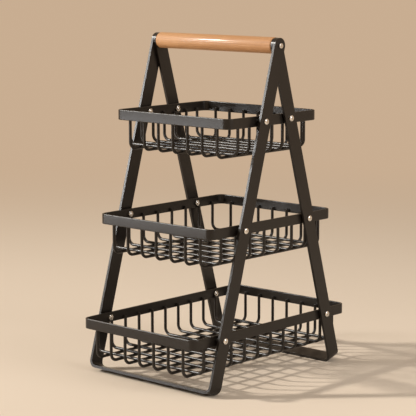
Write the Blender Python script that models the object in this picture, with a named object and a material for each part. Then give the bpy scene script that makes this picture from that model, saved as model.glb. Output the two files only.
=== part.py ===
"""Fruit basket rack: three welded wire baskets bolted between two bent flat-bar frames, under a wooden grip.

Metres. X runs along the grip, Y from the front frame to the rear one, and Z up from the floor.
The rack stands centred over the origin.
"""

import math

import bmesh
import bpy
from mathutils import Matrix, Vector

# Clearances
SEAT_GAP = 0.0003  # between two pieces that touch
HOLE_CLEARANCE = 0.0003  # around a screw, on its radius

# Frames: one flat bar each, punched, bent to a U and hung from the grip's axis
STRAP_WIDTH = 0.020
STRAP_THICKNESS = 0.0035
FRAME_BEND_RADIUS = 0.007  # inside the two bottom bends
LEAN_ANGLE = math.radians(16.0)  # of each leg from upright
GRIP_HEIGHT = 0.432  # of the grip's axis above the floor

# Baskets
BASKET_WIDTH = 0.199
TOP_BASKET_DEPTH = 0.176
MIDDLE_BASKET_DEPTH = 0.239
BOTTOM_BASKET_DEPTH = 0.303
BOTTOM_SCREW_HEIGHT = 0.069
HAND_ROOM = 0.094  # from the grip's axis down to the top basket's screws
RIM_HEIGHT = 0.0135
RIM_THICKNESS = 0.0025
RIM_CORNER_RADIUS = 0.010  # outside

# Wires of the baskets
WIRE_DIAMETER = 0.004
WIRE_BEND_RADIUS = 0.009  # to the wire's centre line
WELD_DEPTH = 0.0004  # how far crossing wires sink into each other
CAGE_DROP = 0.039  # from the rim's lower edge to the underside of the lowest wires
WELD_HEIGHT = 0.005  # of the lengthwise wires' tips above the rim's lower edge
END_MARGIN = 0.023  # from the rim's outside to the first wire's centre line
LENGTHWISE_WIRES = 7
TOP_CROSSWISE_WIRES = 7
MIDDLE_CROSSWISE_WIRES = 8
BOTTOM_CROSSWISE_WIRES = 11

# Basket fasteners
SCREW_DIAMETER = 0.004
SCREW_HEAD_DIAMETER = 0.008
SCREW_HEAD_HEIGHT = 0.0024
SCREW_HEAD_EDGE = 0.0007  # straight, under the dome
SCREW_TIP_LENGTH = 0.001  # past the nut
NUT_WIDTH = 0.007  # across the flats
NUT_THICKNESS = 0.003
WASHER_SPACE = 0.0015  # from a rim to the rear frame
SPACER_DIAMETER = 0.0075

# Grip and its fasteners
GRIP_DIAMETER = 0.021
GRIP_CHAMFER = 0.001
GRIP_SCREW_DIAMETER = 0.004
GRIP_SCREW_HEAD_DIAMETER = 0.0068
GRIP_SCREW_HEAD_HEIGHT = 0.0024
GRIP_SCREW_HEAD_CHAMFER = 0.0007
GRIP_SCREW_REACH = 0.014  # into the grip
HEX_SOCKET_WIDTH = 0.0025
HEX_SOCKET_DEPTH = 0.0012
INSERT_DIAMETER = 0.008
INSERT_LENGTH = 0.013
INSERT_RIDGE_HEIGHT = 0.0004
INSERT_RIDGES = 2

# Facets
BEND_STEPS = 4
RIM_CORNER_STEPS = 4
STRAP_END_STEPS = 4
DOME_STEPS = 2
WIRE_BEND_STEPS = 3
WIRE_SIDES = 6
SCREW_SIDES = 10
NUT_SIDES = 12  # two to each flat
GRIP_SIDES = 24
SHARP_ANGLE = math.radians(35.0)

# Derived places
GRIP_AXIS = Vector((0.0, 0.0, GRIP_HEIGHT))
TIER_PITCH = (GRIP_HEIGHT - HAND_ROOM - BOTTOM_SCREW_HEIGHT) / 2
LEG_LENGTH = (GRIP_HEIGHT - STRAP_WIDTH / 2 * math.sin(LEAN_ANGLE)) / math.cos(LEAN_ANGLE)
RIM_OUTSIDE = BASKET_WIDTH / 2
RIM_INSIDE = RIM_OUTSIDE - RIM_THICKNESS
REAR_LEG_INSIDE = RIM_OUTSIDE + WASHER_SPACE
REAR_LEG_OUTSIDE = REAR_LEG_INSIDE + STRAP_THICKNESS
FRONT_LEG_INSIDE = REAR_LEG_OUTSIDE + SEAT_GAP
FRONT_LEG_OUTSIDE = FRONT_LEG_INSIDE + STRAP_THICKNESS
WIRE_RADIUS = WIRE_DIAMETER / 2
NUT_RADIUS = NUT_WIDTH / 2 / math.cos(math.pi / 6)  # to its corners
GRIP_HALF_LENGTH = REAR_LEG_INSIDE - SEAT_GAP

TIERS = {
    "bottom": (BOTTOM_BASKET_DEPTH, BOTTOM_CROSSWISE_WIRES, BOTTOM_SCREW_HEIGHT),
    "middle": (MIDDLE_BASKET_DEPTH, MIDDLE_CROSSWISE_WIRES, BOTTOM_SCREW_HEIGHT + TIER_PITCH),
    "top": (TOP_BASKET_DEPTH, TOP_CROSSWISE_WIRES, BOTTOM_SCREW_HEIGHT + 2 * TIER_PITCH),
}


def leg_offset(height):
    """How far a leg's centre line is in front of or behind the grip's axis at this height."""
    return (GRIP_HEIGHT - height) * math.tan(LEAN_ANGLE)


def clear_scene():
    for obj in list(bpy.data.objects):
        bpy.data.objects.remove(obj, do_unlink=True)


def make_material(name, colour, roughness, metallic=0.0):
    material = bpy.data.materials.new(name)
    material.use_nodes = True
    shader = material.node_tree.nodes["Principled BSDF"]
    shader.inputs["Base Color"].default_value = (*colour, 1.0)
    shader.inputs["Roughness"].default_value = roughness
    shader.inputs["Metallic"].default_value = metallic
    return material


def mesh_from(bm, name):
    mesh = bpy.data.meshes.new(name)
    bm.to_mesh(mesh)
    bm.free()
    mesh.shade_smooth()
    mesh.set_sharp_from_angle(angle=SHARP_ANGLE)
    return mesh


def add_object(name, mesh, material=None, location=(0, 0, 0), turn=None, parent=None):
    obj = bpy.data.objects.new(name, mesh)
    bpy.context.scene.collection.objects.link(obj)
    if material is not None and not mesh.materials:
        mesh.materials.append(material)
    obj.location = location
    if turn is not None:
        obj.rotation_euler = turn
    obj.parent = parent
    return obj


def add_empty(name, location):
    return add_object(name, None, location=location)


def hide_helper(obj):
    obj.hide_render = True
    obj.display_type = "WIRE"


def add_boolean(obj, other, operation):
    modifier = obj.modifiers.new(operation.lower(), "BOOLEAN")
    modifier.operation = operation
    modifier.solver = "EXACT"
    modifier.object = other


def circle(radius, sides):
    """Points (y, z) of a regular polygon round the X axis."""
    angles = [2 * math.pi * step / sides for step in range(sides)]
    return [(radius * math.cos(angle), radius * math.sin(angle)) for angle in angles]


def arc(centre, radius, start, end, steps):
    """Points of an arc in a plane, its two ends included."""
    angles = [start + (end - start) * step / steps for step in range(steps + 1)]
    return [(centre[0] + radius * math.cos(a), centre[1] + radius * math.sin(a)) for a in angles]


def turned(profile, sides):
    """The solid that a profile of points (x, radius) sweeps round the X axis, both its ends on the axis."""
    bm = bmesh.new()
    points = [bm.verts.new((x, 0.0, radius)) for x, radius in profile]
    edges = [bm.edges.new(pair) for pair in zip(points, points[1:])]
    bmesh.ops.spin(
        bm,
        geom=points + edges,
        axis=(1, 0, 0),
        cent=(0, 0, 0),
        angle=2 * math.pi,
        steps=sides,
        use_merge=True,
    )
    bmesh.ops.remove_doubles(bm, verts=bm.verts, dist=1e-6)
    bmesh.ops.recalc_face_normals(bm, faces=bm.faces)
    return bm


def ring(outer_loops, bore_radius, sides):
    """A bored piece on the X axis. An outer loop is (x, points), one point (y, z) for each side."""
    bm = bmesh.new()
    bore = circle(bore_radius, sides)
    sections = [(outer_loops[0][0], bore), *outer_loops, (outer_loops[-1][0], bore)]
    loops = [[bm.verts.new((x, y, z)) for y, z in points] for x, points in sections]
    for near, far in zip(loops, loops[1:] + loops[:1]):
        for side in range(sides):
            after = (side + 1) % sides
            bm.faces.new((near[side], near[after], far[after], far[side]))
    bmesh.ops.recalc_face_normals(bm, faces=bm.faces)
    return bm


def hole_cutter(name, holes, half_length, location=(0, 0, 0), turn=None):
    """Pins along X, one for each (y, z, screw diameter), that cut the holes of a left and a right wall."""
    bm = bmesh.new()
    along_x = Matrix.Rotation(math.pi / 2, 4, "Y")
    for y, z, screw_diameter in holes:
        radius = screw_diameter / 2 + HOLE_CLEARANCE
        bmesh.ops.create_cone(
            bm,
            cap_ends=True,
            segments=SCREW_SIDES,
            radius1=radius,
            radius2=radius,
            depth=2 * half_length,
            matrix=Matrix.Translation((0, y, z)) @ along_x,
        )
    cutter = add_object(name, mesh_from(bm, name), location=location, turn=turn)
    hide_helper(cutter)
    return cutter


def domed_screw(tip, under_head):
    """Profile (x, radius) of a basket screw, from its tip to the top of its domed head."""
    radius, head_radius = SCREW_DIAMETER / 2, SCREW_HEAD_DIAMETER / 2
    dome_height = SCREW_HEAD_HEIGHT - SCREW_HEAD_EDGE
    dome = []
    for rise, out in arc((0, 0), 1.0, math.pi / 2, 0, DOME_STEPS):
        dome.append((under_head + SCREW_HEAD_EDGE + rise * dome_height, out * head_radius))
    return [(tip, 0), (tip, radius), (under_head, radius), (under_head, head_radius), *dome]


def half_strap(half_width, length):
    """Stations (x, z, half breadth) on a frame's outer face, from its round left tip past its left bend."""
    outer_bend = FRAME_BEND_RADIUS + STRAP_THICKNESS
    tip = arc((0, 0), STRAP_WIDTH / 2, 0, math.pi / 2, STRAP_END_STEPS)
    bend = arc((outer_bend - half_width, outer_bend - length), outer_bend, math.pi, 1.5 * math.pi, BEND_STEPS)
    return [(-half_width, z, breadth) for z, breadth in tip] + [(x, z, STRAP_WIDTH / 2) for x, z in bend]


def frame(name, half_width, lean, material):
    """One flat bar bent to a U. It hangs from the grip's axis, and its own Z runs up along the legs."""
    left = half_strap(half_width, LEG_LENGTH)
    right = [(-x, z, breadth) for x, z, breadth in reversed(left)]
    bm = bmesh.new()
    rows = []
    for x, z, breadth in left + right:
        edges = (-breadth, breadth) if breadth else (0.0,)
        rows.append([bm.verts.new((x, y, z)) for y in edges])
    for row, after in zip(rows, rows[1:]):
        bm.faces.new(row + after[::-1])
    obj = add_object(name, mesh_from(bm, name), material, GRIP_AXIS, (lean, 0, 0))
    solidify = obj.modifiers.new("bar thickness", "SOLIDIFY")
    solidify.thickness = STRAP_THICKNESS
    solidify.offset = -1
    solidify.use_even_offset = True
    holes = [(0.0, 0.0, GRIP_SCREW_DIAMETER)]
    for _, _, height in TIERS.values():
        holes.append((0.0, (height - GRIP_HEIGHT) / math.cos(LEAN_ANGLE), SCREW_DIAMETER))
    cutter = hole_cutter(name + "_holes", holes, half_width + STRAP_THICKNESS, GRIP_AXIS, (lean, 0, 0))
    add_boolean(obj, cutter, "DIFFERENCE")
    return obj


def rounded_rectangle(width, depth, radius, steps):
    """Points (x, y) anticlockwise."""
    x, y = width / 2 - radius, depth / 2 - radius
    points = []
    for turn, (cx, cy) in enumerate(((x, y), (-x, y), (-x, -y), (x, -y))):
        start = turn * math.pi / 2
        points += arc((cx, cy), radius, start, start + math.pi / 2, steps)
    return points


def basket_rim(name, depth, level, screw_offset, material):
    """A flat bar bent to a closed loop, standing on edge, with two screw holes in each side."""
    outline = rounded_rectangle(BASKET_WIDTH, depth, RIM_CORNER_RADIUS, RIM_CORNER_STEPS)
    bm = bmesh.new()
    lower, upper = ([bm.verts.new((x, y, z)) for x, y in outline] for z in (-RIM_HEIGHT / 2, RIM_HEIGHT / 2))
    for index, vertex in enumerate(lower):
        after = (index + 1) % len(outline)
        bm.faces.new((vertex, lower[after], upper[after], upper[index]))
    obj = add_object(name, mesh_from(bm, name), material, parent=level)
    solidify = obj.modifiers.new("bar thickness", "SOLIDIFY")
    solidify.thickness = RIM_THICKNESS
    solidify.offset = -1
    solidify.use_even_offset = True
    holes = [(sign * screw_offset, 0.0, SCREW_DIAMETER) for sign in (-1, 1)]
    add_boolean(obj, hole_cutter(name + "_holes", holes, BASKET_WIDTH, level.location), "DIFFERENCE")
    return obj


def mitre(path, index):
    """Square to a flat path at a point, and longer at a bend, so that a wire keeps its thickness."""
    stretches = list(zip(path, path[1:]))[max(index - 1, 0) : index + 1]
    normals = [Vector((a.y - b.y, b.x - a.x)).normalized() for a, b in stretches]
    middle = sum(normals, Vector((0.0, 0.0))).normalized()
    return middle / middle.dot(normals[0])


def bent_wire(bm, reach, floor, tip, placement):
    """A U of wire along X, up at both ends from the floor to the tips, moved to its place by a matrix."""
    corner = reach - WIRE_BEND_RADIUS
    raised = floor + WIRE_BEND_RADIUS
    left = arc((-corner, raised), WIRE_BEND_RADIUS, math.pi, 1.5 * math.pi, WIRE_BEND_STEPS)
    right = arc((corner, raised), WIRE_BEND_RADIUS, 1.5 * math.pi, 2 * math.pi, WIRE_BEND_STEPS)
    path = [Vector(point) for point in [(-reach, tip), *left, *right, (reach, tip)]]
    section = circle(WIRE_RADIUS / math.cos(math.pi / WIRE_SIDES), WIRE_SIDES)
    rings = []
    for index, point in enumerate(path):
        across = mitre(path, index)
        around = [(point + across * v, u) for u, v in section]
        rings.append([bm.verts.new(placement @ Vector((p.x, u, p.y))) for p, u in around])
    for near, far in zip(rings, rings[1:]):
        for side in range(WIRE_SIDES):
            following = (side + 1) % WIRE_SIDES
            bm.faces.new((near[side], near[following], far[following], far[side]))
    bm.faces.new(rings[0])
    bm.faces.new(rings[-1])


def spread(count, size):
    """Places of wires set evenly between the end margins of a side."""
    span = size - 2 * END_MARGIN
    return [span * index / (count - 1) - span / 2 for index in range(count)]


def wire_cage(name, depth, crosswise, level, material):
    """U-bent wires laid crosswise on U-bent lengthwise ones and spot-welded where they meet.

    The crosswise ones end below the nuts' corners, so that a screw may come anywhere along them.
    """
    rim_bottom = -RIM_HEIGHT / 2
    inset = RIM_THICKNESS + SEAT_GAP + WIRE_RADIUS
    lower_floor = rim_bottom - CAGE_DROP + WIRE_RADIUS
    upper_floor = lower_floor + WIRE_DIAMETER - WELD_DEPTH
    tip = rim_bottom + WELD_HEIGHT
    tip_below_nuts = min(tip, -NUT_RADIUS - SEAT_GAP)

    lengthwise = bmesh.new()
    along_y = Matrix.Rotation(math.pi / 2, 4, "Z")
    for x in spread(LENGTHWISE_WIRES, BASKET_WIDTH):
        bent_wire(lengthwise, depth / 2 - inset, lower_floor, tip, Matrix.Translation((x, 0, 0)) @ along_y)
    bmesh.ops.recalc_face_normals(lengthwise, faces=lengthwise.faces)
    cage = add_object(name, mesh_from(lengthwise, name), material, parent=level)

    across = bmesh.new()
    for y in spread(crosswise, depth):
        placement = Matrix.Translation((0, y, 0))
        bent_wire(across, BASKET_WIDTH / 2 - inset, upper_floor, tip_below_nuts, placement)
    bmesh.ops.recalc_face_normals(across, faces=across.faces)
    wires = add_object(name + "_crosswise", mesh_from(across, name + "_crosswise"), parent=level)
    hide_helper(wires)
    add_boolean(cage, wires, "UNION")
    return cage


def basket_screw_meshes(leg, leg_outside):
    """Screw, spacer and nut for a leg whose outer face is at this x, drawn for the right side of the rack."""
    nut_end = RIM_INSIDE - SEAT_GAP - NUT_THICKNESS
    screw = turned(domed_screw(nut_end - SCREW_TIP_LENGTH, leg_outside + SEAT_GAP), SCREW_SIDES)

    bore = SCREW_DIAMETER / 2 + HOLE_CLEARANCE
    outside = circle(SPACER_DIAMETER / 2, SCREW_SIDES)
    leg_inside = leg_outside - STRAP_THICKNESS
    spacer = ring([(RIM_OUTSIDE + SEAT_GAP, outside), (leg_inside - SEAT_GAP, outside)], bore, SCREW_SIDES)

    reach = [NUT_RADIUS, NUT_WIDTH / 2] * (NUT_SIDES // 2)
    hexagon = [(y * size, z * size) for (y, z), size in zip(circle(1.0, NUT_SIDES), reach)]
    nut = ring([(nut_end, hexagon), (nut_end + NUT_THICKNESS, hexagon)], bore, NUT_SIDES)
    names = {"screw": screw, "spacer": spacer, "nut": nut}
    return {piece: mesh_from(bm, leg + "_" + piece) for piece, bm in names.items()}


def fasten_basket(tier, level, screw_offset, meshes, material):
    """A screw through each leg, a spacer and the rim, into a nut inside the rim."""
    for leg, y in (("front", -screw_offset), ("rear", screw_offset)):
        for side, turn in (("right", (0, 0, 0)), ("left", (0, 0, math.pi))):
            for piece, mesh in meshes[leg].items():
                add_object(f"{tier}_{leg}_{side}_{piece}", mesh, material, (0, y, 0), turn, level)


def build_tiers(coat, nickel):
    meshes = {
        "front": basket_screw_meshes("front", FRONT_LEG_OUTSIDE),
        "rear": basket_screw_meshes("rear", REAR_LEG_OUTSIDE),
    }
    for tier, (depth, crosswise, height) in TIERS.items():
        level = add_empty(tier + "_level", (0, 0, height))
        screw_offset = leg_offset(height)
        basket_rim(tier + "_rim", depth, level, screw_offset, coat)
        wire_cage(tier + "_wire_cage", depth, crosswise, level, coat)
        fasten_basket(tier, level, screw_offset, meshes, nickel)


def wooden_grip(axis, material):
    """A dowel with a blind bore in each end for its threaded insert."""
    end, radius = GRIP_HALF_LENGTH, GRIP_DIAMETER / 2
    bore = INSERT_DIAMETER / 2 + HOLE_CLEARANCE
    bottom = end - max(INSERT_LENGTH + SEAT_GAP, GRIP_SCREW_REACH) - SEAT_GAP
    right = [
        (end - GRIP_CHAMFER, radius),
        (end, radius - GRIP_CHAMFER),
        (end, bore),
        (bottom, bore),
        (bottom, 0),
    ]
    left = [(-x, r) for x, r in reversed(right)]
    dowel = turned(left + right, GRIP_SIDES)
    add_object("wooden_grip", mesh_from(dowel, "wooden_grip"), material, parent=axis)


def insert_mesh():
    """A ribbed sleeve that holds in the wood, drawn for the right end of the grip."""
    outer = GRIP_HALF_LENGTH - SEAT_GAP
    inner = outer - INSERT_LENGTH
    root, crest = INSERT_DIAMETER / 2 - INSERT_RIDGE_HEIGHT, INSERT_DIAMETER / 2
    step = INSERT_LENGTH / (2 * INSERT_RIDGES)
    loops = []
    for index in range(2 * INSERT_RIDGES + 1):
        loops.append((inner + index * step, circle(crest if index % 2 else root, SCREW_SIDES)))
    bore = GRIP_SCREW_DIAMETER / 2 + HOLE_CLEARANCE
    return mesh_from(ring(loops, bore, SCREW_SIDES), "grip_insert")


def grip_screw_mesh():
    """A socket-headed screw through both legs into the insert, drawn for the right side."""
    tip = GRIP_HALF_LENGTH - GRIP_SCREW_REACH
    under_head = FRONT_LEG_OUTSIDE + SEAT_GAP
    top = under_head + GRIP_SCREW_HEAD_HEIGHT
    radius, head_radius = GRIP_SCREW_DIAMETER / 2, GRIP_SCREW_HEAD_DIAMETER / 2
    profile = [
        (tip, 0),
        (tip, radius),
        (under_head, radius),
        (under_head, head_radius),
        (top - GRIP_SCREW_HEAD_CHAMFER, head_radius),
        (top, head_radius - GRIP_SCREW_HEAD_CHAMFER),
        (top, 0),
    ]
    return mesh_from(turned(profile, SCREW_SIDES), "grip_screw")


def socket_cutter(axis, turn):
    """A hexagonal peg that cuts a grip screw's socket, and stands as far out of the head as it goes in."""
    radius = HEX_SOCKET_WIDTH / 2 / math.cos(math.pi / 6)
    top = FRONT_LEG_OUTSIDE + SEAT_GAP + GRIP_SCREW_HEAD_HEIGHT
    floor = top - HEX_SOCKET_DEPTH
    far = top + HEX_SOCKET_DEPTH
    peg = turned([(floor, 0), (floor, radius), (far, radius), (far, 0)], 6)
    cutter = add_object("socket_cutter", mesh_from(peg, "socket_cutter"), turn=turn, parent=axis)
    hide_helper(cutter)
    return cutter


def build_grip(wood, nickel, brass):
    """The turning grip: the dowel, its inserts and its screws, all about the axis through both frames."""
    axis = add_empty("grip_axis", GRIP_AXIS)
    wooden_grip(axis, wood)
    insert, screw = insert_mesh(), grip_screw_mesh()
    for side, turn in (("right", (0, 0, 0)), ("left", (0, 0, math.pi))):
        add_object("grip_insert_" + side, insert, brass, turn=turn, parent=axis)
        bolt = add_object("grip_screw_" + side, screw, nickel, turn=turn, parent=axis)
        add_boolean(bolt, socket_cutter(axis, turn), "DIFFERENCE")


def main():
    clear_scene()
    coat = make_material("black powder coat", (0.022, 0.019, 0.017), 0.42)
    wood = make_material("oiled beech", (0.62, 0.36, 0.17), 0.45)
    nickel = make_material("nickel-plated steel", (0.72, 0.70, 0.66), 0.25, 1.0)
    brass = make_material("brass", (0.70, 0.52, 0.24), 0.35, 1.0)
    frame("front_frame", FRONT_LEG_OUTSIDE, -LEAN_ANGLE, coat)
    frame("rear_frame", REAR_LEG_OUTSIDE, LEAN_ANGLE, coat)
    build_tiers(coat, nickel)
    build_grip(wood, nickel, brass)


main()
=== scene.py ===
"""Looks of the fruit basket rack: its fine pieces and finishes, the floor, the lights and the camera.

Metres. X runs along the grip, Y from the front frame to the rear one, and Z up from the floor.
"""

import math

import bmesh
import bpy
from mathutils import Matrix, Vector


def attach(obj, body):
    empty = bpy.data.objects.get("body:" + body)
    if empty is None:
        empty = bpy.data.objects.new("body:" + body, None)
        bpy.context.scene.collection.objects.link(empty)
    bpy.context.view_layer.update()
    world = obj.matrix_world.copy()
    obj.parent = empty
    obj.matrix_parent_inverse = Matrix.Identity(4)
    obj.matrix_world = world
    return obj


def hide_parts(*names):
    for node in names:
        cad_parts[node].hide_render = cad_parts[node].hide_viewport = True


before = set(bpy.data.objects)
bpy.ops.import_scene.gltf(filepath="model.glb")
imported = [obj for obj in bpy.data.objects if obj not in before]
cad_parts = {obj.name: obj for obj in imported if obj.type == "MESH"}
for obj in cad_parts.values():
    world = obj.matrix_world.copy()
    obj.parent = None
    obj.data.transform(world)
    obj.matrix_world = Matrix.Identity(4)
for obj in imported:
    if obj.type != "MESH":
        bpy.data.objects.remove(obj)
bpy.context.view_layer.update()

# Clearances
SEAT_GAP = 0.0003  # between two pieces that touch
HOLE_CLEARANCE = 0.0003  # around a screw, on its radius

# Frames
STRAP_WIDTH = 0.020
STRAP_THICKNESS = 0.0035
STRAP_EDGE = 0.0007  # rounding of the rolled bar
FRAME_BEND_RADIUS = 0.007  # inside the two bottom bends
LEAN_ANGLE = math.radians(16.0)  # of each leg from upright
GRIP_HEIGHT = 0.432  # of the grip's axis above the floor

# Baskets
BASKET_WIDTH = 0.199
RIM_HEIGHT = 0.0135
RIM_THICKNESS = 0.0025
RIM_EDGE = 0.0010  # rounding of the bar
RIM_CORNER_RADIUS = 0.010  # outside
WIRE_RADIUS = 0.002
WIRE_BEND_RADIUS = 0.009  # to the wire's centre line
WIRE_TIP_CHAMFER = 0.0004
WELD_DEPTH = 0.0004  # how far crossing wires sink into each other
CROSSING_WELD = (0.0023, 0.0023, 0.0008)  # half sizes of the weld metal where wires cross
TIP_WELD_HALF_WIDTH = 0.0019  # of the weld metal between a wire's tip and the rim
TIP_WELD_HALF_THICKNESS = 0.0009
TIP_WELD_OFFSET = 0.8 * WIRE_RADIUS  # of its middle from the wire's centre line
TIP_WELD_SHARE = 0.46  # its half height, as a share of the tip's height above the rim's lower edge
CAGE_DROP = 0.039  # from the rim's lower edge to the underside of the lowest wires
WELD_HEIGHT = 0.005  # of the wires' tips above the rim's lower edge
END_MARGIN = 0.023  # from the rim's outside to the first wire's centre line
LENGTHWISE_WIRES = 7
TIERS = {  # depth, crosswise wires, height of the screws
    "bottom": (0.303, 11, 0.069),
    "middle": (0.239, 8, 0.2035),
    "top": (0.176, 7, 0.338),
}

# Basket fasteners
SCREW_RADIUS = 0.002
SCREW_HEAD_RADIUS = 0.004
SCREW_HEAD_HEIGHT = 0.0024
SCREW_HEAD_EDGE = 0.0007  # straight, under the dome
SCREW_HEAD_CHAMFER = 0.0001  # of the straight edge, on the leg's side
SCREW_HEAD_FLAT_RADIUS = 0.0018  # round the socket
SCREW_TIP_LENGTH = 0.001  # past the nut
THREAD_PITCH = 0.0007
THREAD_DEPTH = 0.00025
THREAD_TURNS = 8
NUT_WIDTH = 0.007  # across the flats
NUT_THICKNESS = 0.003
NUT_FACE_RADIUS = 0.00335  # of the flat inside its chamfered corners
NUT_CHAMFER_ANGLE = math.radians(30.0)
NUT_BORE_CHAMFER = 0.0003
WASHER_SPACE = 0.0015  # from a rim to the rear frame
SPACER_RADIUS = 0.00375
SPACER_CHAMFER = 0.0002

# Grip and its fasteners
GRIP_RADIUS = 0.0105
GRIP_ROUNDING = 0.0016  # of its ends
GRIP_SCREW_HEAD_RADIUS = 0.0034
GRIP_SCREW_HEAD_HEIGHT = 0.0024
GRIP_SCREW_HEAD_CHAMFER = 0.0007
GRIP_SCREW_REACH = 0.014  # into the grip
HEX_SOCKET_WIDTH = 0.0025
HEX_SOCKET_DEPTH = 0.0012
HEX_SOCKET_CHAMFER = 0.0002
INSERT_RADIUS = 0.004
INSERT_LENGTH = 0.013

# Derived places
GRIP_AXIS = Vector((0.0, 0.0, GRIP_HEIGHT))
LEG_LENGTH = (GRIP_HEIGHT - STRAP_WIDTH / 2 * math.sin(LEAN_ANGLE)) / math.cos(LEAN_ANGLE)
RIM_OUTSIDE = BASKET_WIDTH / 2
RIM_INSIDE = RIM_OUTSIDE - RIM_THICKNESS
REAR_LEG_INSIDE = RIM_OUTSIDE + WASHER_SPACE
REAR_LEG_OUTSIDE = REAR_LEG_INSIDE + STRAP_THICKNESS
FRONT_LEG_INSIDE = REAR_LEG_OUTSIDE + SEAT_GAP
FRONT_LEG_OUTSIDE = FRONT_LEG_INSIDE + STRAP_THICKNESS
GRIP_HALF_LENGTH = REAR_LEG_INSIDE - SEAT_GAP
BORE_RADIUS = SCREW_RADIUS + HOLE_CLEARANCE

# Fineness
ROUND_SIDES = 24
GRIP_SIDES = 72
WIRE_SIDES = 14
WELD_SIDES = 12
WELD_ROWS = 8
BEND_STEPS = 12
STRAP_END_STEPS = 16
EDGE_STEPS = 3
DOME_STEPS = 9
SCREW_CHAMFER_STEPS = 4
GRIP_ROUNDING_STEPS = 6
SHARP_ANGLE = math.radians(40.0)  # a crease sharper than this isn't shaded smooth
BEVEL_ANGLE = math.radians(50.0)  # an edge sharper than this is rounded

# Stage
FLOOR_COLOUR = (0.82, 0.69, 0.555)
FLOOR_RADIUS = 30.0
FLOOR_SIDES = 96
FADE_START, FADE_END = 0.7, 2.2  # how far out the floor fades into the backdrop
BACKDROP_COLOUR = (0.58, 0.42, 0.285)
ROOM_COLOUR = (0.86, 0.71, 0.56)
ROOM_STRENGTH = 0.29
LIGHTS_AIM = Vector((0.0, 0.0, 0.2))
NO_GRID = 180.0
SOFT_BOXES = (  # name, azimuth, elevation, distance, width, height, watts, tint, grid
    ("key", -51.0, 32.0, 7.0, 0.39, 0.39, 353.0, (1.0, 0.96, 0.89), NO_GRID),
    ("window", -44.0, 18.4, 2.2, 0.36, 0.42, 2.65, (0.97, 0.985, 1.0), 80.0),
    ("low_window", -44.0, -3.2, 1.6, 0.90, 0.14, 0.22, (0.96, 0.98, 1.0), 40.0),
    ("side", 97.0, 24.0, 1.6, 0.80, 0.60, 9.0, (0.97, 0.985, 1.0), NO_GRID),
    ("top", 20.0, 82.0, 1.8, 1.2, 1.2, 4.5, (1.0, 0.98, 0.96), NO_GRID),
)

# Camera
CAMERA_AIM = Vector((0.0, 0.0, 0.230))
CAMERA_DISTANCE = 2.18376
CAMERA_AZIMUTH, CAMERA_ELEVATION, CAMERA_ROLL = 42.103, 8.448, -0.029  # degrees
CAMERA_LENS, CAMERA_SENSOR = 142.973, 36.0  # millimetres
CAMERA_SHIFT_X, CAMERA_SHIFT_Y = -0.02026, -0.02914  # shares of the picture's width
CAMERA_NEAR, CAMERA_FAR = 0.05, 100.0


class Value:
    """A socket that carries a value, so that shader maths reads as arithmetic."""

    def __init__(self, finish, socket):
        self.finish = finish
        self.socket = socket

    def maths(self, operation, first, second):
        return self.finish.node("Math", {"operation": operation}, {0: first, 1: second})

    def __add__(self, other):
        return self.maths("ADD", self, other)

    def __sub__(self, other):
        return self.maths("SUBTRACT", self, other)

    def __rsub__(self, other):
        return self.maths("SUBTRACT", other, self)

    def __mul__(self, other):
        return self.maths("MULTIPLY", self, other)

    __radd__ = __add__
    __rmul__ = __mul__


class Finish:
    """A node tree that is written node by node: a material's, or the world's."""

    def __init__(self, owner):
        owner.use_nodes = True
        self.owner = owner
        self.tree = owner.node_tree

    def feed(self, socket, value):
        if isinstance(value, Value):
            self.tree.links.new(value.socket, socket)
        else:
            socket.default_value = value

    def node(self, kind, settings, inputs, output=0):
        """A new node of a kind, its settings first and then its sockets. Returns one of its outputs."""
        made = self.tree.nodes.new("ShaderNode" + kind)
        for name, value in settings.items():
            setattr(made, name, value)
        for name, value in inputs.items():
            self.feed(made.inputs[name], value)
        return Value(self, made.outputs[output])

    def shader(self, **inputs):
        """Sets sockets of the material's Principled shader."""
        for name, value in inputs.items():
            self.feed(self.tree.nodes["Principled BSDF"].inputs[name.replace("_", " ")], value)

    def place(self):
        return self.node("TexCoord", {}, {}, "Object")

    def stretched(self, place, scale, shift=(0, 0, 0)):
        return self.node("Mapping", {}, {"Vector": place, "Scale": scale, "Location": shift})

    def noise(self, place, scale, detail=2.0, roughness=0.5):
        inputs = {"Vector": place, "Scale": scale, "Detail": detail, "Roughness": roughness}
        return self.node("TexNoise", {}, inputs, "Fac")

    def between(self, value, low, high):
        """0 at low, 1 at high and eased between."""
        settings = {"interpolation_type": "SMOOTHSTEP"}
        return self.node("MapRange", settings, {"Value": value, "From Min": low, "From Max": high})

    def blend(self, factor, first, second):
        """Two colours mixed by a value. Sockets 6 and 7 of the Mix node are its colours."""
        colours = {6: colour(first), 7: colour(second)}
        return self.node("Mix", {"data_type": "RGBA"}, {0: factor, **colours}, 2)

    def bump(self, height, depth, strength=1.0):
        return self.node("Bump", {}, {"Height": height, "Distance": depth, "Strength": strength})

    def looked_at(self):
        """1 where the camera, a gloss or a glass looks at it, and 0 where it lights something."""
        by_camera = self.node("LightPath", {}, {}, "Is Camera Ray")
        by_gloss = self.node("LightPath", {}, {}, "Is Glossy Ray")
        by_glass = self.node("LightPath", {}, {}, "Is Transmission Ray")
        return self.node("Math", {"operation": "MAXIMUM"}, {0: by_camera, 1: by_gloss + by_glass})


def colour(value):
    """What a colour's socket takes: a value as it is, or three numbers made opaque."""
    return value if isinstance(value, Value) else (*value, 1.0)


def new_finish(name):
    return Finish(bpy.data.materials.new(name))


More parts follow.
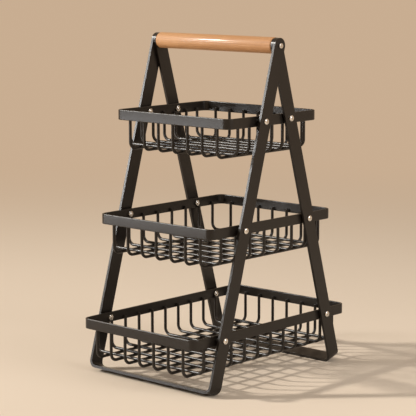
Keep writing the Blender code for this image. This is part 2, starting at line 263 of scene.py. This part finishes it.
def powder_coat():
    """Satin black powder coat: a warm black, rippled like fine orange peel, with a few paler specks."""
    coat = new_finish("satin black powder coat")
    place = coat.place()
    cloud = coat.noise(place, 40.0, 3.0)
    ripple = coat.noise(place, 700.0, 1.0)
    speck = coat.noise(place, 2600.0, 1.0)
    thick, thin, dust = (0.011, 0.0087, 0.0072), (0.017, 0.0135, 0.0110), (0.045, 0.038, 0.032)
    specks = 0.35 * coat.between(speck, 0.62, 0.74)
    coat.shader(
        Base_Color=coat.blend(specks, coat.blend(cloud, thick, thin), dust),
        Roughness=0.255 + 0.05 * cloud + 0.04 * ripple,
        Specular_IOR_Level=0.42,
        Normal=coat.bump(0.85 * ripple + 0.15 * speck, 0.00005, 0.3),
    )
    return coat.owner


def oiled_beech():
    """Beech turned along the grain: growth rings cut lengthwise, short dark flecks and a soft oiled sheen."""
    wood = new_finish("oiled beech")
    place = wood.place()
    warp = wood.noise(wood.stretched(place, (5.0, 28.0, 28.0)), 1.0, 3.0)
    from_heart = wood.stretched(place, (1.0, 1.0, 1.0), (0.0, 0.021, -0.452))
    ring_settings = {"wave_type": "RINGS", "rings_direction": "X", "wave_profile": "SAW"}
    ring_values = {"Vector": from_heart, "Scale": 95.0, "Distortion": 3.2, "Detail": 2.0, "Detail Scale": 0.6}
    rings = wood.node("TexWave", ring_settings, ring_values, "Fac")
    grain = wood.noise(wood.stretched(place, (22.0, 1500.0, 1500.0)), 1.0, 3.0, 0.6)
    fleck = wood.noise(wood.stretched(place, (160.0, 2600.0, 2600.0)), 1.0, 1.0)
    flecks = wood.between(fleck, 0.64, 0.74)
    straw, honey, late_wood = (0.66, 0.36, 0.165), (0.56, 0.285, 0.120), (0.44, 0.200, 0.075)
    pores, fleck_brown = (0.38, 0.170, 0.062), (0.25, 0.105, 0.038)
    pale = wood.blend(warp, straw, honey)
    banded = wood.blend(0.55 * rings * wood.between(warp, 0.25, 0.75), pale, late_wood)
    lined = wood.blend(0.60 * wood.between(grain, 0.35, 0.75), banded, pores)
    wood.shader(
        Base_Color=wood.blend(0.5 * flecks, lined, fleck_brown),
        Roughness=0.52 + 0.14 * grain,
        Normal=wood.bump(0.7 * grain - 0.5 * flecks, 0.00008, 0.6),
        Coat_Weight=0.20,
        Coat_Roughness=0.12,
    )
    return wood.owner


def nickel_plate():
    """Bright nickel plate with faint turning marks and handling haze."""
    nickel = new_finish("bright nickel plate")
    place = nickel.place()
    haze = nickel.noise(place, 320.0, 3.0)
    marks = nickel.noise(nickel.stretched(place, (5200.0, 900.0, 900.0)), 1.0, 1.0)
    bright, handled = (0.86, 0.85, 0.83), (0.77, 0.75, 0.72)
    nickel.shader(
        Base_Color=nickel.blend(haze, bright, handled),
        Metallic=1.0,
        Roughness=0.14 + 0.10 * haze + 0.05 * marks,
        Normal=nickel.bump(marks, 0.00002, 0.3),
    )
    return nickel.owner


def turned_brass():
    """Plain brass, tarnished in clouds, with fine rings left by the lathe."""
    brass = new_finish("turned brass")
    place = brass.place()
    tarnish = brass.noise(place, 260.0, 3.0)
    rings = brass.noise(brass.stretched(place, (6000.0, 300.0, 300.0)), 1.0, 1.0)
    clean, dull = (0.78, 0.57, 0.26), (0.55, 0.38, 0.16)
    brass.shader(
        Base_Color=brass.blend(tarnish, clean, dull),
        Metallic=1.0,
        Roughness=0.26 + 0.16 * tarnish,
        Normal=brass.bump(rings, 0.00002, 0.4),
    )
    return brass.owner


def circle(radius, sides=ROUND_SIDES):
    """Points (y, z) round the X axis."""
    angles = [2 * math.pi * step / sides for step in range(sides)]
    return [(radius * math.cos(angle), radius * math.sin(angle)) for angle in angles]


def arc(centre, radius, start, end, steps):
    """Points of an arc in a plane, its two ends included."""
    angles = [start + (end - start) * step / steps for step in range(steps + 1)]
    return [(centre[0] + radius * math.cos(a), centre[1] + radius * math.sin(a)) for a in angles]


def round_loop(x, radius, sides=ROUND_SIDES):
    return [Vector((x, y, z)) for y, z in circle(radius, sides)]


def hexagon_loop(x, width, rise=0.0, face_radius=0.0):
    """A hexagon with corners to the front and rear. Past face_radius its x slopes, by rise."""
    loop = []
    for step, (y, z) in enumerate(circle(1.0)):
        turn = 2 * math.pi * step / ROUND_SIDES % (math.pi / 3)
        reach = width / 2 / math.cos(turn - math.pi / 6)
        loop.append(Vector((x + rise * max(reach - face_radius, 0.0), y * reach, z * reach)))
    return loop


def loft(bm, loops, closed=False):
    """Skin over loops of equally many points, capped at both ends or closed from the last to the first."""
    rings = [[bm.verts.new(point) for point in loop] for loop in loops]
    pairs = list(zip(rings, rings[1:]))
    if closed:
        pairs.append((rings[-1], rings[0]))
    else:
        bm.faces.new(rings[0])
        bm.faces.new(rings[-1])
    for near, far in pairs:
        for index, vertex in enumerate(near):
            after = (index + 1) % len(near)
            bm.faces.new((vertex, near[after], far[after], far[index]))


def mesh_from(bm, name):
    """Ends a bmesh as a smooth mesh with its creases sharp."""
    bmesh.ops.recalc_face_normals(bm, faces=bm.faces)
    mesh = bpy.data.meshes.new(name)
    bm.to_mesh(mesh)
    bm.free()
    mesh.shade_smooth()
    mesh.set_sharp_from_angle(angle=SHARP_ANGLE)
    return mesh


def lofted(name, loops, closed=False):
    bm = bmesh.new()
    loft(bm, loops, closed)
    return mesh_from(bm, name)


def add_object(name, mesh):
    obj = bpy.data.objects.new(name, mesh)
    bpy.context.scene.collection.objects.link(obj)
    return obj


def add_modifier(obj, kind, **settings):
    modifier = obj.modifiers.new(kind.lower(), kind)
    for name, value in settings.items():
        setattr(modifier, name, value)


def applied(obj):
    """An object's mesh with its modifiers applied."""
    evaluated = obj.evaluated_get(bpy.context.evaluated_depsgraph_get())
    obj.data = bpy.data.meshes.new_from_object(evaluated)
    obj.modifiers.clear()
    return obj.data


def piece(name, mesh, material, body, node, place=None):
    """Adds one fine piece of the rack, which stands for a node of the frame."""
    if place is not None:
        mesh = mesh.copy()
        mesh.transform(place)
    mesh.name = name
    mesh.materials.clear()
    mesh.materials.append(material)
    obj = add_object(name, mesh)
    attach(obj, body)
    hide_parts(node)


def pin_cutter(holes, half_length, place):
    """Pins along X, one for each (y, z, radius), that cut round holes."""
    bm = bmesh.new()
    for y, z, radius in holes:
        shift = Vector((0, y, z))
        loft(bm, [[point + shift for point in round_loop(x, radius)] for x in (-half_length, half_length)])
    mesh = mesh_from(bm, "pins")
    mesh.transform(place)
    return add_object("pins", mesh)


def flat_bar(name, rows, joined, thickness, edge, holes, reach, place):
    """The mesh of a bar bent along rows of points on its outer face, with rounded edges and drilled holes."""
    bm = bmesh.new()
    made = [[bm.verts.new(point) for point in row] for row in rows]
    pairs = list(zip(made, made[1:]))
    if joined:
        pairs.append((made[-1], made[0]))
    for row, after in pairs:
        bm.faces.new(row + after[::-1])
    mesh = bpy.data.meshes.new(name)
    bm.to_mesh(mesh)
    bm.free()
    mesh.shade_smooth()
    mesh.transform(place)
    obj = add_object(name, mesh)
    add_modifier(obj, "SOLIDIFY", thickness=thickness, offset=-1, use_even_offset=True)
    rounding = {"width": edge, "segments": EDGE_STEPS, "limit_method": "ANGLE", "angle_limit": BEVEL_ANGLE}
    add_modifier(obj, "BEVEL", **rounding)
    pins = pin_cutter(holes, reach, place)
    add_modifier(obj, "BOOLEAN", operation="DIFFERENCE", solver="EXACT", object=pins)
    applied(obj).set_sharp_from_angle(angle=SHARP_ANGLE)
    add_modifier(obj, "WEIGHTED_NORMAL", keep_sharp=True, weight=100)
    mesh = applied(obj)
    bpy.data.objects.remove(obj)
    bpy.data.objects.remove(pins)
    return mesh


def frame_bar(half_width, lean):
    """One bar bent to a U: a round tip, down a leg, across the floor, and up the other leg."""
    outer_bend = FRAME_BEND_RADIUS + STRAP_THICKNESS
    corner = (outer_bend - half_width, outer_bend - LEG_LENGTH)
    tip = arc((0, 0), STRAP_WIDTH / 2, 0, math.pi / 2, STRAP_END_STEPS)
    bend = arc(corner, outer_bend, math.pi, 1.5 * math.pi, BEND_STEPS)
    stations = [(-half_width, z, breadth) for z, breadth in tip]
    stations += [(x, z, STRAP_WIDTH / 2) for x, z in bend]
    stations += [(-x, z, breadth) for x, z, breadth in reversed(stations)]
    rows = []
    for x, z, breadth in stations:
        edges = (-breadth, breadth) if breadth else (0.0,)
        rows.append([(x, y, z) for y in edges])
    holes = [(0.0, 0.0, BORE_RADIUS)]
    for _, _, height in TIERS.values():
        holes.append((0.0, (height - GRIP_HEIGHT) / math.cos(LEAN_ANGLE), BORE_RADIUS))
    place = Matrix.Translation(GRIP_AXIS) @ Matrix.Rotation(lean, 4, "X")
    reach = half_width + STRAP_THICKNESS
    return flat_bar("frame_bar", rows, False, STRAP_THICKNESS, STRAP_EDGE, holes, reach, place)


def rim_bar(depth, height, screw_offset):
    """A bar on edge bent to a closed loop with rounded corners."""
    x, y = BASKET_WIDTH / 2 - RIM_CORNER_RADIUS, depth / 2 - RIM_CORNER_RADIUS
    outline = []
    for turn, corner in enumerate(((x, y), (-x, y), (-x, -y), (x, -y))):
        start = turn * math.pi / 2
        outline += arc(corner, RIM_CORNER_RADIUS, start, start + math.pi / 2, BEND_STEPS)
    rows = [[(px, py, -RIM_HEIGHT / 2), (px, py, RIM_HEIGHT / 2)] for px, py in reversed(outline)]
    holes = [(sign * screw_offset, 0.0, BORE_RADIUS) for sign in (-1, 1)]
    place = Matrix.Translation((0, 0, height))
    return flat_bar("rim_bar", rows, True, RIM_THICKNESS, RIM_EDGE, holes, BASKET_WIDTH, place)


def mitre(path, index):
    """Square to a flat path at a point, and longer at a bend, so that a wire keeps its thickness."""
    stretches = list(zip(path, path[1:]))[max(index - 1, 0) : index + 1]
    normals = [Vector((a.y - b.y, b.x - a.x)).normalized() for a, b in stretches]
    middle = sum(normals, Vector((0.0, 0.0))).normalized()
    return middle / middle.dot(normals[0])


def bent_wire(bm, reach, bottom, tip, place):
    """A U of wire along X, up at both ends from its bottom to its nipped tips, moved to its place."""
    corner, raised = reach - WIRE_BEND_RADIUS, bottom + WIRE_BEND_RADIUS
    left = arc((-corner, raised), WIRE_BEND_RADIUS, math.pi, 1.5 * math.pi, BEND_STEPS)
    right = arc((corner, raised), WIRE_BEND_RADIUS, 1.5 * math.pi, 2 * math.pi, BEND_STEPS)
    shoulder = tip - WIRE_TIP_CHAMFER
    points = [(-reach, tip), (-reach, shoulder), *left, *right, (reach, shoulder), (reach, tip)]
    path = [Vector(point) for point in points]
    loops = []
    for index, point in enumerate(path):
        nipped = index in (0, len(path) - 1)
        radius = WIRE_RADIUS - WIRE_TIP_CHAMFER if nipped else WIRE_RADIUS
        across = mitre(path, index)
        around = [(point + across * v, u) for u, v in circle(radius, WIRE_SIDES)]
        loops.append([place @ Vector((p.x, u, p.y)) for p, u in around])
    loft(bm, loops)


def weld(bm, place, radii):
    """A small smooth lump of weld metal."""
    matrix = Matrix.Translation(place) @ Matrix.Diagonal((*radii, 1.0))
    bmesh.ops.create_uvsphere(bm, u_segments=WELD_SIDES, v_segments=WELD_ROWS, radius=1.0, matrix=matrix)


def spread(count, size):
    """Even places for a number of wires across a basket."""
    span = size - 2 * END_MARGIN
    return [span * index / (count - 1) - span / 2 for index in range(count)]


def basket_wires(depth, crosswise, height, screw_offset):
    """The welded cage: crosswise wires on lengthwise ones, with a weld at each crossing and each tip."""
    rim_bottom = height - RIM_HEIGHT / 2
    inset = RIM_THICKNESS + SEAT_GAP + WIRE_RADIUS
    lower_floor = rim_bottom - CAGE_DROP + WIRE_RADIUS
    upper_floor = lower_floor + 2 * WIRE_RADIUS - WELD_DEPTH
    tip = rim_bottom + WELD_HEIGHT
    tip_under_nut = height - NUT_WIDTH / 2 - SEAT_GAP
    beside_nut = NUT_WIDTH / math.sqrt(3) + WIRE_RADIUS + SEAT_GAP
    along_x, along_y = BASKET_WIDTH / 2 - inset, depth / 2 - inset
    crossing = (lower_floor + upper_floor) / 2
    bm = bmesh.new()
    for x in spread(LENGTHWISE_WIRES, BASKET_WIDTH):
        place = Matrix.Translation((x, 0, 0)) @ Matrix.Rotation(math.pi / 2, 4, "Z")
        bent_wire(bm, along_y, lower_floor, tip, place)
        for y in spread(crosswise, depth):
            weld(bm, (x, y, crossing), CROSSING_WELD)
        radii = (TIP_WELD_HALF_WIDTH, TIP_WELD_HALF_THICKNESS, TIP_WELD_SHARE * WELD_HEIGHT)
        for side in (-1, 1):
            weld(bm, (x, side * (along_y + TIP_WELD_OFFSET), (rim_bottom + tip) / 2), radii)
    for y in spread(crosswise, depth):
        cross_tip = tip_under_nut if abs(abs(y) - screw_offset) < beside_nut else tip
        bent_wire(bm, along_x, upper_floor, cross_tip, Matrix.Translation((0, y, 0)))
        rise = TIP_WELD_SHARE * (cross_tip - rim_bottom)
        radii = (TIP_WELD_HALF_THICKNESS, TIP_WELD_HALF_WIDTH, rise)
        for side in (-1, 1):
            weld(bm, (side * (along_x + TIP_WELD_OFFSET), y, (rim_bottom + cross_tip) / 2), radii)
    return mesh_from(bm, "wires")


def shank_loops(tip, under_head):
    """A screw's shank from its chamfered tip: thread ridges first, then plain."""
    root = SCREW_RADIUS - THREAD_DEPTH
    loops = [round_loop(tip, root - THREAD_DEPTH)]
    for step in range(1, 2 * THREAD_TURNS + 1):
        loops.append(round_loop(tip + step * THREAD_PITCH / 2, SCREW_RADIUS if step % 2 else root))
    thread_end = tip + (THREAD_TURNS + 0.5) * THREAD_PITCH
    return loops + [round_loop(thread_end, SCREW_RADIUS), round_loop(under_head, SCREW_RADIUS)]


def socket_loops(top):
    """A hexagonal socket in a head's flat top, its mouth chamfered."""
    return [
        hexagon_loop(top, HEX_SOCKET_WIDTH + 2 * HEX_SOCKET_CHAMFER),
        hexagon_loop(top - HEX_SOCKET_CHAMFER, HEX_SOCKET_WIDTH),
        hexagon_loop(top - HEX_SOCKET_DEPTH, HEX_SOCKET_WIDTH),
    ]


def button_screw(leg_outside):
    """A basket screw for the right side: a domed head with a hexagonal socket."""
    under_head = leg_outside + SEAT_GAP
    nut_end = RIM_INSIDE - SEAT_GAP - NUT_THICKNESS
    top = under_head + SCREW_HEAD_HEIGHT
    dome_height = SCREW_HEAD_HEIGHT - SCREW_HEAD_EDGE
    dome_width = SCREW_HEAD_RADIUS - SCREW_HEAD_FLAT_RADIUS
    loops = shank_loops(nut_end - SCREW_TIP_LENGTH, under_head)
    loops.append(round_loop(under_head, SCREW_HEAD_RADIUS - SCREW_HEAD_CHAMFER))
    loops.append(round_loop(under_head + SCREW_HEAD_CHAMFER, SCREW_HEAD_RADIUS))
    for rise, out in arc((0, 0), 1.0, math.pi / 2, 0, DOME_STEPS):
        x = under_head + SCREW_HEAD_EDGE + rise * dome_height
        loops.append(round_loop(x, SCREW_HEAD_FLAT_RADIUS + out * dome_width))
    return lofted("button_screw", loops + socket_loops(top))


def socket_screw():
    """A grip screw for the right side: a low cylindrical head with a hexagonal socket."""
    under_head = FRONT_LEG_OUTSIDE + SEAT_GAP
    top = under_head + GRIP_SCREW_HEAD_HEIGHT
    chamfer = GRIP_SCREW_HEAD_CHAMFER
    corner = (top - chamfer, GRIP_SCREW_HEAD_RADIUS - chamfer)
    loops = shank_loops(GRIP_HALF_LENGTH - GRIP_SCREW_REACH, under_head)
    loops.append(round_loop(under_head, GRIP_SCREW_HEAD_RADIUS))
    edge = arc(corner, chamfer, math.pi / 2, 0, SCREW_CHAMFER_STEPS)
    loops += [round_loop(x, radius) for x, radius in edge]
    return lofted("socket_screw", loops + socket_loops(top))


def hexagon_nut():
    """A nut for the right side, chamfered on both faces and in the mouths of its bore."""
    outer, inner = RIM_INSIDE - SEAT_GAP, RIM_INSIDE - SEAT_GAP - NUT_THICKNESS
    slope = math.tan(NUT_CHAMFER_ANGLE)
    mouth = BORE_RADIUS + NUT_BORE_CHAMFER
    loops = [
        round_loop(inner + NUT_BORE_CHAMFER, BORE_RADIUS),
        round_loop(inner, mouth),
        round_loop(inner, NUT_FACE_RADIUS),
        hexagon_loop(inner, NUT_WIDTH, slope, NUT_FACE_RADIUS),
        hexagon_loop(outer, NUT_WIDTH, -slope, NUT_FACE_RADIUS),
        round_loop(outer, NUT_FACE_RADIUS),
        round_loop(outer, mouth),
        round_loop(outer - NUT_BORE_CHAMFER, BORE_RADIUS),
    ]
    return lofted("hexagon_nut", loops, closed=True)


def sleeve(leg_outside):
    """A spacer, or a washer where the leg is close, between a leg and a rim on the right side."""
    inner, outer = RIM_OUTSIDE + SEAT_GAP, leg_outside - STRAP_THICKNESS - SEAT_GAP
    chamfer = SPACER_CHAMFER
    loops = [
        round_loop(inner, BORE_RADIUS),
        round_loop(inner, SPACER_RADIUS - chamfer),
        round_loop(inner + chamfer, SPACER_RADIUS),
        round_loop(outer - chamfer, SPACER_RADIUS),
        round_loop(outer, SPACER_RADIUS - chamfer),
        round_loop(outer, BORE_RADIUS),
    ]
    return lofted("sleeve", loops, closed=True)


def dowel():
    """The grip, turned with softly rounded ends and a blind bore in each for its insert."""
    bore = INSERT_RADIUS + HOLE_CLEARANCE
    bottom = GRIP_HALF_LENGTH - max(INSERT_LENGTH + SEAT_GAP, GRIP_SCREW_REACH) - SEAT_GAP
    corner = (GRIP_HALF_LENGTH - GRIP_ROUNDING, GRIP_RADIUS - GRIP_ROUNDING)
    right = arc(corner, GRIP_ROUNDING, math.pi / 2, 0, GRIP_ROUNDING_STEPS)
    right += [(GRIP_HALF_LENGTH, bore), (bottom, bore)]
    profile = [(-x, radius) for x, radius in reversed(right)] + right
    mesh = lofted("dowel", [round_loop(x, radius, GRIP_SIDES) for x, radius in profile])
    mesh.transform(Matrix.Translation(GRIP_AXIS))
    return mesh


def build_frames(coat):
    """The two bent bars, the rear one nested inside the front one."""
    for name, half_width, lean in (
        ("front", FRONT_LEG_OUTSIDE, -LEAN_ANGLE),
        ("rear", REAR_LEG_OUTSIDE, LEAN_ANGLE),
    ):
        bar = frame_bar(half_width, lean)
        piece(name + "_bent_bar", bar, coat, "rack", name + "_frame")


def build_baskets(coat, nickel):
    """Rims, wires and fasteners of the three tiers."""
    nut = hexagon_nut()
    kinds = {
        "front": {"screw": button_screw(FRONT_LEG_OUTSIDE), "spacer": sleeve(FRONT_LEG_OUTSIDE), "nut": nut},
        "rear": {"screw": button_screw(REAR_LEG_OUTSIDE), "spacer": sleeve(REAR_LEG_OUTSIDE), "nut": nut},
    }
    words = {"screw": "button_screw", "spacer": "sleeve", "nut": "hexagon_nut"}
    for tier, (depth, crosswise, height) in TIERS.items():
        offset = (GRIP_HEIGHT - height) * math.tan(LEAN_ANGLE)
        rim = rim_bar(depth, height, offset)
        wires = basket_wires(depth, crosswise, height, offset)
        piece(tier + "_rim_bar", rim, coat, "rack", tier + "_rim")
        piece(tier + "_basket_wires", wires, coat, "rack", tier + "_wire_cage")
        for leg, y in (("front", -offset), ("rear", offset)):
            for side, turn in (("right", 0.0), ("left", math.pi)):
                place = Matrix.Translation((0, y, height)) @ Matrix.Rotation(turn, 4, "Z")
                for kind, mesh in kinds[leg].items():
                    name = f"{tier}_{leg}_{side}_"
                    piece(name + words[kind], mesh, nickel, "rack", name + kind, place)


def build_grip(wood, nickel, brass):
    """The dowel and its screws. The inserts inside it keep the frame's shape and get their finish."""
    piece("turned_dowel", dowel(), wood, "grip", "wooden_grip")
    screw = socket_screw()
    for side, turn in (("right", 0.0), ("left", math.pi)):
        place = Matrix.Translation(GRIP_AXIS) @ Matrix.Rotation(turn, 4, "Z")
        piece("socket_screw_" + side, screw, nickel, "grip", "grip_screw_" + side, place)
        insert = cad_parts["grip_insert_" + side]
        insert.data.materials.clear()
        insert.data.materials.append(brass)


def floor():
    """A plain pale floor that keeps the shadows and fades into the backdrop a metre or two out."""
    pale = new_finish("pale floor")
    place = pale.place()
    distance = pale.node("VectorMath", {"operation": "LENGTH"}, {0: place}, "Value")
    faded = pale.looked_at() * pale.between(distance, FADE_START, FADE_END)
    pale.shader(Base_Color=colour(FLOOR_COLOUR), Roughness=0.85, Specular_IOR_Level=0.0)
    glow = pale.node("Emission", {}, {"Color": colour(BACKDROP_COLOUR), "Strength": 1.0})
    surface = Value(pale, pale.tree.nodes["Principled BSDF"].outputs[0])
    mixed = pale.node("MixShader", {}, {0: faded, 1: surface, 2: glow})
    pale.feed(pale.tree.nodes["Material Output"].inputs["Surface"], mixed)
    bm = bmesh.new()
    bmesh.ops.create_circle(bm, cap_ends=True, radius=FLOOR_RADIUS, segments=FLOOR_SIDES)
    obj = add_object("floor", mesh_from(bm, "floor"))
    obj.data.materials.append(pale.owner)


def room():
    """Soft light from all round, and the backdrop's colour where the camera or a gloss looks at it."""
    world = bpy.data.worlds.new("room")
    bpy.context.scene.world = world
    room_light = Finish(world)
    light = room_light.node("Background", {}, {"Color": colour(ROOM_COLOUR), "Strength": ROOM_STRENGTH})
    backdrop = room_light.node("Background", {}, {"Color": colour(BACKDROP_COLOUR), "Strength": 1.0})
    mixed = room_light.node("MixShader", {}, {0: room_light.looked_at(), 1: light, 2: backdrop})
    room_light.feed(room_light.tree.nodes["World Output"].inputs["Surface"], mixed)


def direction(azimuth, elevation):
    """From the rack, in degrees: azimuth 0 is the front, -Y, and 90 the right, +X."""
    a, e = math.radians(azimuth), math.radians(elevation)
    return Vector((math.sin(a) * math.cos(e), -math.cos(a) * math.cos(e), math.sin(e)))


def soft_box(name, azimuth, elevation, distance, width, height, watts, tint, grid):
    """A soft box that faces the rack. A grid, in degrees, keeps its light off the floor beside it."""
    lamp = bpy.data.lights.new(name, "AREA")
    lamp.shape = "RECTANGLE"
    lamp.size, lamp.size_y = width, height
    lamp.energy = watts
    lamp.color = tint
    lamp.spread = math.radians(grid)
    obj = bpy.data.objects.new(name, lamp)
    bpy.context.scene.collection.objects.link(obj)
    obj.location = LIGHTS_AIM + direction(azimuth, elevation) * distance
    obj.rotation_mode = "QUATERNION"
    obj.rotation_quaternion = (LIGHTS_AIM - obj.location).to_track_quat("-Z", "Y")
    obj.visible_camera = False


def camera():
    """At the photograph's viewing angle."""
    back = direction(CAMERA_AZIMUTH, CAMERA_ELEVATION)
    right = direction(CAMERA_AZIMUTH + 90.0, 0.0)
    up = back.cross(right)
    lens = bpy.data.cameras.new("camera")
    lens.lens, lens.sensor_width = CAMERA_LENS, CAMERA_SENSOR
    lens.shift_x, lens.shift_y = CAMERA_SHIFT_X, CAMERA_SHIFT_Y
    lens.clip_start, lens.clip_end = CAMERA_NEAR, CAMERA_FAR
    obj = bpy.data.objects.new("camera", lens)
    bpy.context.scene.collection.objects.link(obj)
    axes = Matrix((right, up, back)).transposed().to_4x4()
    place = Matrix.Translation(CAMERA_AIM + back * CAMERA_DISTANCE)
    obj.matrix_world = place @ axes @ Matrix.Rotation(math.radians(CAMERA_ROLL), 4, "Z")
    bpy.context.scene.camera = obj


def main():
    coat, wood, nickel, brass = powder_coat(), oiled_beech(), nickel_plate(), turned_brass()
    build_frames(coat)
    build_baskets(coat, nickel)
    build_grip(wood, nickel, brass)
    floor()
    room()
    for settings in SOFT_BOXES:
        soft_box(*settings)
    camera()
    bpy.context.scene.view_settings.view_transform = "Standard"


main()
